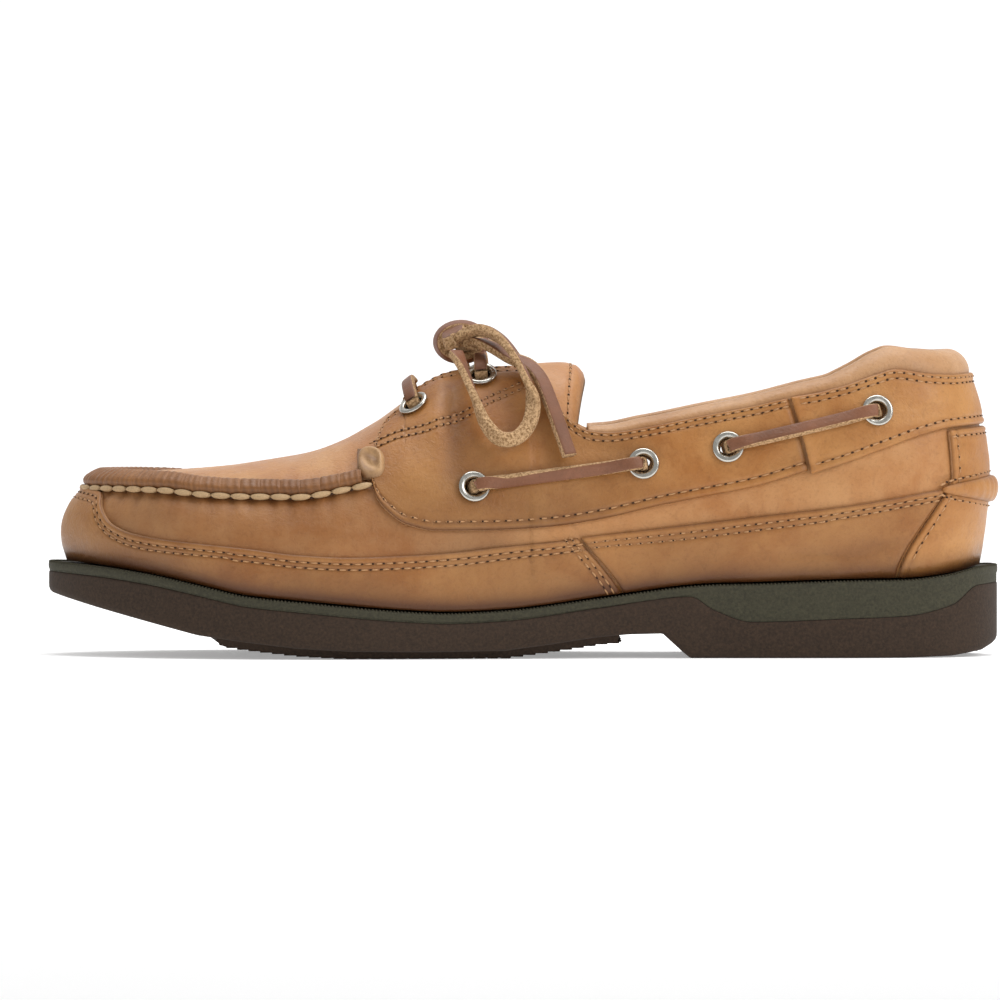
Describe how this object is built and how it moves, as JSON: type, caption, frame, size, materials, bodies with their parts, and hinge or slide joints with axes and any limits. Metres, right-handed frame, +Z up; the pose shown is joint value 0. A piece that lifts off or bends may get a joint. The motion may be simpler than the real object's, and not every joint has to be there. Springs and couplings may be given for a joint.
{
  "type": "boat shoe",
  "caption": "Left leather boat shoe with a hand-sewn moccasin plug, side laces through metal eyelets, a bow, and a siped rubber sole with a low heel.",
  "frame": {"origin": "on the floor, in the middle of the sole's length and width", "axes": "+X to the toe, +Y to the wearer's left, the outer side of this left shoe, +Z up"},
  "size_m": [0.3024, 0.108, 0.1062],
  "materials": {
    "outsole_rubber": "moulded matte brown rubber",
    "midsole_rubber": "moulded matte grey-green rubber with a ribbed edge",
    "insole_leather": "smooth tan sock lining",
    "plug_leather": "oiled pull-up leather, pale tan",
    "seam_leather": "oiled leather, gathered and burnished at the seam",
    "upper_leather": "oiled pull-up leather, tan with darker folds",
    "eyelet_metal": "nickel-plated brass, polished",
    "lace_leather": "rawhide lace, reddish brown face with a suede edge"
  },
  "bodies": {
    "root": {"outsole": "outsole_rubber", "midsole": "midsole_rubber", "insole": "insole_leather", "upper": "plug_leather", "tongue": "plug_leather", "moc_seam": "seam_leather", "foxing_front": "upper_leather", "foxing_rear_lateral": "upper_leather", "foxing_rear_medial": "upper_leather", "side_band_lateral": "upper_leather", "side_band_medial": "upper_leather", "rear_strip": "upper_leather", "heel_counter": "upper_leather", "heel_kicker": "upper_leather", "collar_pad": "upper_leather", "eyelet_lateral_1": "eyelet_metal", "eyelet_lateral_2": "eyelet_metal", "eyelet_lateral_3": "eyelet_metal", "eyelet_lateral_4": "eyelet_metal", "eyelet_lateral_5": "eyelet_metal", "eyelet_lateral_6": "eyelet_metal", "eyelet_medial_1": "eyelet_metal", "eyelet_medial_2": "eyelet_metal", "eyelet_medial_3": "eyelet_metal", "eyelet_medial_4": "eyelet_metal", "eyelet_medial_5": "eyelet_metal", "eyelet_medial_6": "eyelet_metal", "lace_run_lateral_front": "lace_leather", "lace_run_lateral_rear": "lace_leather", "lace_run_medial_front": "lace_leather", "lace_run_medial_rear": "lace_leather", "lace_throat_bar_front": "lace_leather", "lace_throat_bar_rear": "lace_leather", "lace_knot": "lace_leather", "lace_loop_lateral": "lace_leather", "lace_loop_medial": "lace_leather", "lace_end_lateral": "lace_leather", "lace_end_medial": "lace_leather"}
  },
  "joints": []
}
